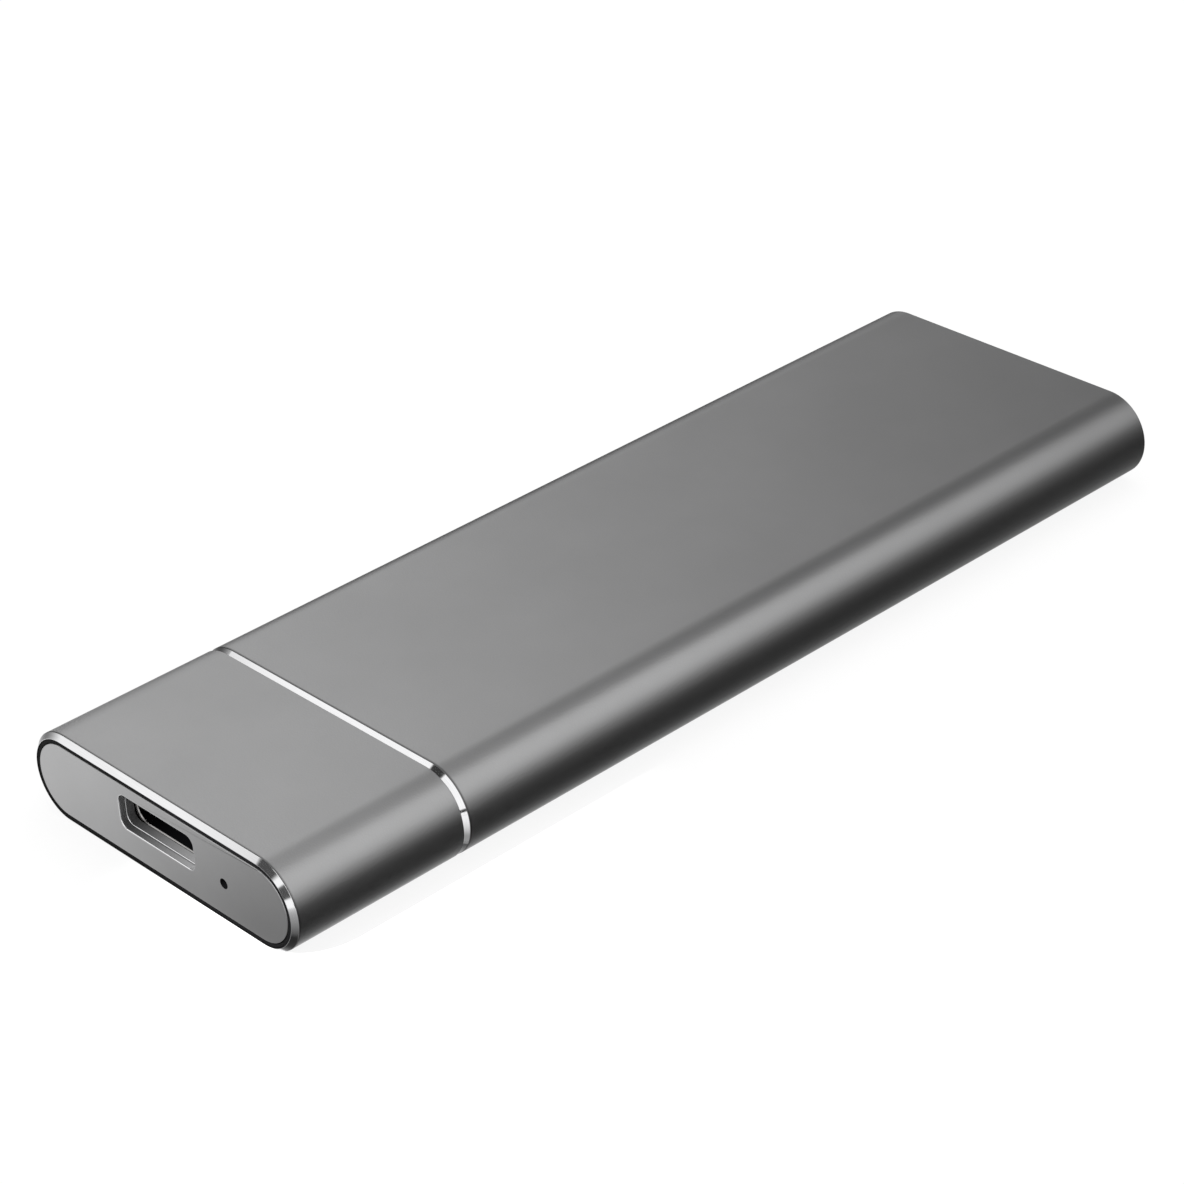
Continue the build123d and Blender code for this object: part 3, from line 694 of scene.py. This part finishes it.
class DRIVE_OT_sleeve(bpy.types.Operator):
    """Model the extruded sleeve, with its bright cut, rear ledge and card guides"""

    bl_idname = "drive.sleeve"
    bl_label = "Sleeve"

    def execute(self, context):
        case = context.scene.drive_case
        front = SLEEVE_LOW.y
        rear = SLEEVE_HIGH.y
        cut = case.sleeve_cut
        edge = case.rear_edge
        plate = REAR_PLATE_HIGH.y - REAR_PLATE_LOW.y
        piece = start_case("sleeve", 0, front + cut, rear - edge, case)
        work_end(piece, -1, ((case.bright_cut, cut), (case.wall - case.bright_cut, 0)))
        ledge = case.wall - case.mouth_wall
        work_end(piece, 1, ((edge, edge), (case.mouth_wall - edge, 0), (0, -plate), (ledge, 0)))
        open_through(piece)
        round_rims(piece, case.edge_round, (front, front + cut, rear - edge, rear))
        leave_edit(piece)
        self.add_guides(piece, case)
        settle_normals(piece)
        finish_shell(piece, "main_sleeve", front + cut, case, context.scene.drive_finishes)
        return {"FINISHED"}

    def add_guides(self, piece, case):
        """Join four ribs to the bore, above and below the board's long edges."""
        middle = case.width / 2 - case.height / 2
        reach = case.height / 2 - case.wall / 2
        for base in (BOARD_LOW.z - case.guide_fit - case.guide_thick, BOARD_HIGH.z + case.guide_fit):
            drop = AXIS_Z - base
            root = middle + math.sqrt(reach ** 2 - drop ** 2)
            for side in (-1, 1):
                ends = sorted((side * case.guide_tip, side * root))
                low = Vector((ends[0], case.guide_start, base))
                high = Vector((ends[1], REAR_PLATE_LOW.y, base + case.guide_thick))
                combine(piece, add_block(low, high), "UNION")


class DRIVE_OT_collar(bpy.types.Operator):
    """Model the short collar, with its bright cut and thinned mouth"""

    bl_idname = "drive.collar"
    bl_label = "Collar"

    def execute(self, context):
        case = context.scene.drive_case
        front = COLLAR_LOW.y
        rear = COLLAR_HIGH.y
        cut = case.bright_cut
        piece = start_case("collar", 0, front + cut, rear, case)
        ledge = case.wall - case.mouth_wall
        work_end(piece, -1, ((cut, cut), (case.mouth_wall - cut, 0), (0, -case.mouth_depth), (ledge, 0)))
        work_end(piece, 1, ((case.wall, 0),))
        open_through(piece)
        round_rims(piece, case.edge_round, (front + cut, rear))
        settle_normals(piece)
        finish_shell(piece, "front_collar", front + cut, case, context.scene.drive_finishes)
        return {"FINISHED"}


class DRIVE_OT_front_plate(bpy.types.Operator):
    """Model the front plate, with the port's stepped window and the light's pinhole"""

    bl_idname = "drive.front_plate"
    bl_label = "Front plate"

    def execute(self, context):
        case = context.scene.drive_case
        port = context.scene.drive_port
        colours = context.scene.drive_finishes
        front = FRONT_PLATE_LOW.y
        rear = FRONT_PLATE_HIGH.y
        ledge = front + port.recess_depth
        inset = (case.width - FRONT_PLATE_HIGH.x + FRONT_PLATE_LOW.x) / 2
        piece = start_case("front_plate_cover", inset, front, rear, case)
        leave_edit(piece)
        recess = (port.recess_width, port.recess_height, port.recess_radius)
        window = (port.window_width, port.window_height, port.window_radius)
        combine(piece, self.bar(port, recess, front - CUT_OVER, ledge), "DIFFERENCE")
        combine(piece, self.bar(port, window, front, rear + CUT_OVER), "DIFFERENCE")
        bpy.ops.object.mode_set(mode="EDIT")
        round_rims(piece, port.window_round, (ledge,))
        round_rims(piece, case.plate_round, (front,))
        leave_edit(piece)
        combine(piece, self.pinhole(port, front - CUT_OVER, rear + CUT_OVER), "DIFFERENCE")
        settle_normals(piece)
        self.paint(piece, port, case.plate_round, rear)
        walls = (grained("milled_wall", colours), grained("black_moulding", colours))
        skin = grained("anodised_plate", colours)
        hand_over(piece, "front_plate", "anodised_shell", skin, bright_material(colours), *walls)
        return {"FINISHED"}

    def port_height(self, port):
        """Height of the port's axis."""
        return BOARD_HIGH.z + port.shell_height / 2

    def bar(self, port, size, start, end):
        """Rounded bar about the port's axis that cuts an opening."""
        middle = (SHELL_X, start, self.port_height(port))
        cutter = start_outline("cutter", *size, middle, port.round_steps)
        draw_back(end - start)
        leave_edit(cutter)
        return cutter

    def pinhole(self, port, start, end):
        """Round bar that cuts the light's pinhole."""
        bpy.ops.object.select_all(action="DESELECT")
        bpy.ops.mesh.primitive_cylinder_add(
            vertices=4 * port.round_steps, radius=port.pinhole_radius, depth=end - start,
            location=(PINHOLE.x, (start + end) / 2, PINHOLE.z), rotation=UPRIGHT,
        )
        bpy.ops.object.transform_apply(location=True, rotation=True, scale=True)
        return bpy.context.active_object

    def paint(self, piece, port, margin, rear):
        """Bright rounded edges and dull walls in the window, whose near-black colour is partly painted
        shade, and a pinhole wall painted black as painted shade.
        """
        middle = self.port_height(port)

        def at_port(face):
            place = face.calc_center_median()
            across = abs(place.x - SHELL_X) < port.recess_width / 2 + margin
            upright = abs(place.z - middle) < port.recess_height / 2 + margin
            return across and upright and place.y < rear - MERGE

        def at_pinhole(face):
            place = face.calc_center_median()
            return math.hypot(place.x - PINHOLE.x, place.z - PINHOLE.z) < port.pinhole_radius + MERGE

        paint_faces(piece, 1, lambda face: at_port(face) and FLAT < -face.normal.y < 1 - FLAT)
        paint_faces(piece, 2, lambda face: at_port(face) and abs(face.normal.y) < FLAT)
        # Painted shade: the pinhole's aluminium wall takes the black moulding so the hole reads dark
        paint_faces(piece, 3, lambda face: at_pinhole(face) and abs(face.normal.y) < FLAT)


class DRIVE_OT_rear_plate(bpy.types.Operator):
    """Model the plain plate that closes the sleeve"""

    bl_idname = "drive.rear_plate"
    bl_label = "Rear plate"

    def execute(self, context):
        case = context.scene.drive_case
        colours = context.scene.drive_finishes
        inset = (case.width - REAR_PLATE_HIGH.x + REAR_PLATE_LOW.x) / 2
        piece = start_case("rear_plate_cover", inset, REAR_PLATE_LOW.y, REAR_PLATE_HIGH.y, case)
        round_rims(piece, case.plate_round, (REAR_PLATE_HIGH.y,))
        settle_normals(piece)
        hand_over(piece, "rear_plate", "anodised_shell", grained("dull_plate", colours))
        return {"FINISHED"}


class DRIVE_OT_port(bpy.types.Operator):
    """Model the port's drawn shell, with its bevelled mouth, four legs and a bore painted black as painted
    shade
    """

    bl_idname = "drive.port"
    bl_label = "Port shell"

    def execute(self, context):
        port = context.scene.drive_port
        colours = context.scene.drive_finishes
        front = SHELL_LOW.y
        rear = SHELL_HIGH.y
        middle = SHELL_HIGH.z - port.shell_height / 2
        size = (SHELL_HIGH.x - SHELL_LOW.x, port.shell_height, port.shell_height / 2)
        piece = start_outline("port_sleeve", *size, (SHELL_X, front, middle), port.round_steps)
        draw_back(rear - front)
        work_end(piece, -1, ((port.shell_wall - port.lead_in, 0), (port.lead_in, -port.lead_in)))
        work_end(piece, 1, ((port.shell_wall, 0),))
        open_through(piece)
        leave_edit(piece)
        self.add_legs(piece, port, front, middle)
        settle_normals(piece)
        bore = size[1] / 2 - port.shell_wall / 2
        straight = size[0] / 2 - size[2]

        def in_bore(face):
            place = face.calc_center_median()
            beyond = max(abs(place.x - SHELL_X) - straight, 0)
            return math.hypot(beyond, place.z - middle) < bore and abs(face.normal.y) < FLAT

        # Painted shade: the steel bore takes the black moulding so the port's hollow reads dark
        paint_faces(piece, 1, in_bore)
        materials = (grained("plated_steel", colours), grained("black_moulding", colours))
        hand_over(piece, "port_shell", "plated_steel", *materials)
        return {"FINISHED"}

    def add_legs(self, piece, port, front, top):
        """Join four legs that run down from the shell's widest places."""
        half = (SHELL_HIGH.x - SHELL_LOW.x) / 2
        outer = half - port.leg_play
        inner = half - port.shell_wall + port.leg_play
        for row in range(2):
            centre = front + port.leg_front + row * port.leg_pitch
            for side in (-1, 1):
                ends = sorted((side * inner, side * outer))
                low = Vector((SHELL_X + ends[0], centre - port.leg_width / 2, SHELL_LOW.z))
                high = Vector((SHELL_X + ends[1], centre + port.leg_width / 2, top - port.leg_play))
                combine(piece, add_block(low, high), "UNION")


class DRIVE_OT_inner_finishes(bpy.types.Operator):
    """Give the frame, boards and chips inside the case their materials"""

    bl_idname = "drive.inner_finishes"
    bl_label = "Inner finishes"

    def execute(self, context):
        colours = context.scene.drive_finishes
        for finish, names in INNER_FINISHES.items():
            self.coat(grained(finish, colours), names)
        self.coat(board_material(colours), ("bridge_board", "memory_card"))
        self.coat(pipe_material(colours), ("light_pipe",))
        return {"FINISHED"}

    def coat(self, material, names):
        """Put one material on some nodes of the construction."""
        for name in names:
            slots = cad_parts[name].data.materials
            slots.clear()
            slots.append(material)


class DRIVE_OT_stage(bpy.types.Operator):
    """Set up the floor, the light and the camera"""

    bl_idname = "drive.stage"
    bl_label = "Stage"

    def execute(self, context):
        stage = context.scene.drive_stage
        self.add_floor(stage)
        self.light_world(context.scene)
        for card in CARDS:
            self.add_card(card)
        self.add_lamps(stage)
        self.add_camera(context.scene, stage)
        context.scene.view_settings.view_transform = "Standard"
        return {"FINISHED"}

    def add_floor(self, stage):
        """White floor with a faint shadow, which mirrors look past to the surroundings."""
        bpy.ops.object.select_all(action="DESELECT")
        bpy.ops.mesh.primitive_plane_add(size=stage.floor_size, location=(0, 0, 0))
        floor = bpy.context.active_object
        floor.name = "floor"
        material, tree, shader = start_material("floor_white")
        shader.inputs["Roughness"].default_value = 0.9
        shader.inputs["Specular IOR Level"].default_value = 0.0
        grain = use_grain(tree, grain_scale=500, cloud_scale=5)
        tint(tree, grain.outputs["Cloud"], stage.floor_colour, 0.004, shader.inputs["Base Color"])
        glow = add_node(tree, "ShaderNodeEmission", color=WHITE, strength=1.0)
        mix = tree.nodes.new("ShaderNodeMixShader")
        tree.links.new(self.seen_rays(tree, stage.floor_glow), mix.inputs["Fac"])
        tree.links.new(shader.outputs["BSDF"], mix.inputs[1])
        tree.links.new(glow.outputs["Emission"], mix.inputs[2])
        tree.links.new(mix.outputs["Shader"], tree.nodes["Material Output"].inputs["Surface"])
        floor.data.materials.append(material)
        floor.visible_glossy = False

    def seen_rays(self, tree, share):
        """A share for the rays of the camera, of mirrors and of clear pieces, and nothing for the rest."""
        path = tree.nodes.new("ShaderNodeLightPath")
        total = path.outputs["Is Camera Ray"]
        for name in ("Is Glossy Ray", "Is Transmission Ray"):
            more = add_node(tree, "ShaderNodeMath", operation="MAXIMUM")
            tree.links.new(total, more.inputs[0])
            tree.links.new(path.outputs[name], more.inputs[1])
            total = more.outputs[0]
        scaled = add_node(tree, "ShaderNodeMath", operation="MULTIPLY")
        scaled.inputs[1].default_value = share
        tree.links.new(total, scaled.inputs[0])
        return scaled.outputs[0]

    def light_world(self, scene):
        """Even white surroundings."""
        world = bpy.data.worlds.new("studio")
        scene.world = world
        world.use_nodes = True
        background = world.node_tree.nodes["Background"]
        background.inputs["Color"].default_value = WHITE
        background.inputs["Strength"].default_value = 1.0

    def add_card(self, card):
        """Grey card with faded edges that only mirrors see, as a flag beside the set."""
        turn = Matrix.Rotation(math.radians(card.azimuth + 90), 3, "Z")
        turn = turn @ Matrix.Rotation(math.radians(90 - card.elevation), 3, "X")
        place = Vector(card.place) * MM
        bpy.ops.object.select_all(action="DESELECT")
        bpy.ops.mesh.primitive_plane_add(size=MM, location=place, rotation=turn.to_euler())
        piece = bpy.context.active_object
        piece.name = card.name
        piece.scale = (card.size[0], card.size[1], 1)
        piece.visible_camera = False
        piece.visible_diffuse = False
        piece.visible_shadow = False
        piece.visible_transmission = False
        piece.data.materials.append(card_material(card))

    def add_lamps(self, stage):
        """Soft-edged spot on the port's dull walls, and a soft lamp over the floor."""
        plate = Vector((stage.spot_place[0], COLLAR_LOW.y, AXIS_Z))
        spot = self.add_lamp("front_spot", "SPOT", stage.spot_place, plate, stage.spot_power)
        spot.shadow_soft_size = stage.spot_radius
        spot.spot_size = stage.spot_cone
        spot.spot_blend = 1.0   # soft from the middle out
        below = Vector((stage.top_place[0], stage.top_place[1], 0))
        top = self.add_lamp("top_lamp", "AREA", stage.top_place, below, stage.top_power)
        top.size = stage.top_size

    def add_lamp(self, name, kind, place, target, power):
        """Lamp that lights the dull surfaces and stays out of the mirrors."""
        aim = target - Vector(place)
        turn = aim.to_track_quat("-Z", "Y").to_euler()
        bpy.ops.object.light_add(type=kind, location=place, rotation=turn)
        lamp = bpy.context.active_object
        lamp.name = name
        lamp.data.energy = power
        lamp.visible_camera = False
        lamp.visible_glossy = False
        return lamp.data

    def add_camera(self, scene, stage):
        """Camera at the picture's place and angle."""
        turn = Matrix.Rotation(stage.camera_azimuth, 3, "Z")
        turn = turn @ Matrix.Rotation(math.pi / 2 - stage.camera_elevation, 3, "X")
        turn = turn @ Matrix.Rotation(stage.camera_roll, 3, "Z")
        bpy.ops.object.camera_add(location=stage.camera_place, rotation=turn.to_euler())
        camera = bpy.context.active_object
        camera.data.angle = stage.camera_view
        camera.data.clip_start = 10 * MM
        scene.camera = camera


class DRIVE_PT_panel(bpy.types.Panel):
    """Lists the steps that build the drive"""

    bl_idname = "DRIVE_PT_panel"
    bl_label = "Portable Drive"
    bl_space_type = "VIEW_3D"
    bl_region_type = "UI"
    bl_category = "Drive"

    def draw(self, context):
        column = self.layout.column(align=True)
        for step in STEPS:
            column.operator(step.bl_idname)


STEPS = (
    DRIVE_OT_sleeve,
    DRIVE_OT_collar,
    DRIVE_OT_front_plate,
    DRIVE_OT_rear_plate,
    DRIVE_OT_port,
    DRIVE_OT_inner_finishes,
    DRIVE_OT_stage,
)
GROUPS = (
    ("drive_case", CaseSizes),
    ("drive_port", PortSizes),
    ("drive_finishes", Finishes),
    ("drive_stage", StageSizes),
)


def register():
    """Register the classes and hang the property groups on the scene."""
    for name, group in GROUPS:
        bpy.utils.register_class(group)
        setattr(bpy.types.Scene, name, bpy.props.PointerProperty(type=group))
    for step in STEPS:
        bpy.utils.register_class(step)
    bpy.utils.register_class(DRIVE_PT_panel)


def unregister():
    """Undo what register did."""
    bpy.utils.unregister_class(DRIVE_PT_panel)
    for step in reversed(STEPS):
        bpy.utils.unregister_class(step)
    for name, group in reversed(GROUPS):
        delattr(bpy.types.Scene, name)
        bpy.utils.unregister_class(group)


def main():
    """Build every piece in order."""
    register()
    bpy.ops.drive.sleeve()
    bpy.ops.drive.collar()
    bpy.ops.drive.front_plate()
    bpy.ops.drive.rear_plate()
    bpy.ops.drive.port()
    bpy.ops.drive.inner_finishes()
    bpy.ops.drive.stage()


if __name__ == "__main__":
    main()
